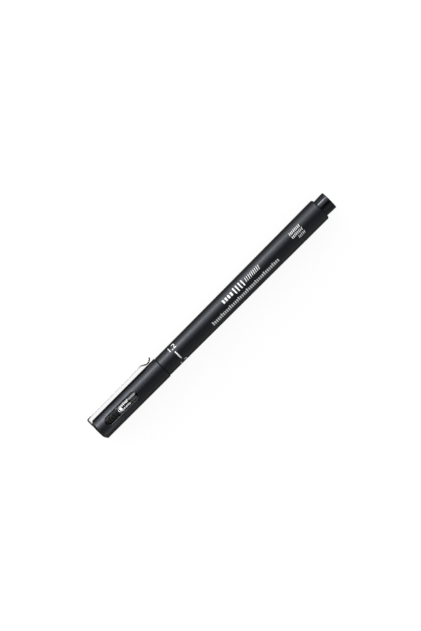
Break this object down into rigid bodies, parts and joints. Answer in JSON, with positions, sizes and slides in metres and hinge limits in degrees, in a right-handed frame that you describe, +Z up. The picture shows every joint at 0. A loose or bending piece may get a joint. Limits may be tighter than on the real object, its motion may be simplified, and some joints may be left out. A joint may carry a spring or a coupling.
{
  "type": "fineliner pen",
  "caption": "Capped drawing pen: tapered satin black barrel, cap with a spring clip and a window over the tip, and a glossy tail plug; the cap pulls off and turns.",
  "frame": {"origin": "on the table under the middle of the lying pen: middle of its length and of its width, at its lowest level", "axes": "+X along the pen from the cap's closed end to the tail plug, +Z up, +Y to the side that the clip leans to"},
  "size_m": [0.138, 0.0124, 0.0105],
  "materials": {
    "cap_satin_black": "satin moulded plastic",
    "barrel_satin_black": "satin moulded plastic with white print",
    "print_white": "white printing ink on the barrel",
    "gloss_black": "polished moulded plastic",
    "section_black": "smooth moulded plastic with a soft shine",
    "clip_steel": "polished plated spring steel",
    "tip_metal": "satin turned metal",
    "ring_metal": "satin grey metal",
    "seal_rubber": "moulded black elastomer",
    "keeper_plastic": "moulded plastic",
    "nib_fibre": "bonded fibre soaked with black ink",
    "holder_plastic": "natural moulded plastic",
    "ink_fibre": "fibre bundle soaked with black ink",
    "ink_film": "clear film"
  },
  "bodies": {
    "pen": {"barrel": "barrel_satin_black", "tail_plug": "gloss_black", "front_section": "section_black", "nib_ferrule": "tip_metal", "nib": "nib_fibre", "nib_holder": "holder_plastic", "reservoir_core": "ink_fibre", "reservoir_wrap": "ink_film"},
    "seal": {"inner_cap": "seal_rubber", "seal_ring": "ring_metal"},
    "cap": {"cap_shell": "cap_satin_black", "clip_keeper": "keeper_plastic"},
    "clip": {"clip": "clip_steel"}
  },
  "joints": [
    {"name": "cap_pull", "type": "slide", "parent": "pen", "child": "seal", "axis": [-1, 0, 0], "range_m": [0, 0.04]},
    {"name": "cap_twist", "type": "hinge", "parent": "seal", "child": "cap", "pos_m": [-0.06495, -0.00102, 0.00528], "axis": [1, 0, 0], "continuous": true},
    {"name": "clip_flex", "type": "hinge", "parent": "cap", "child": "clip", "pos_m": [-0.0681, 0.00195, 0.00362], "axis": [0, 0.4866, 0.8736], "range_deg": [0, 3.5], "stiffness_Nm_per_rad": 0.5, "springref_deg": -1.15}
  ]
}
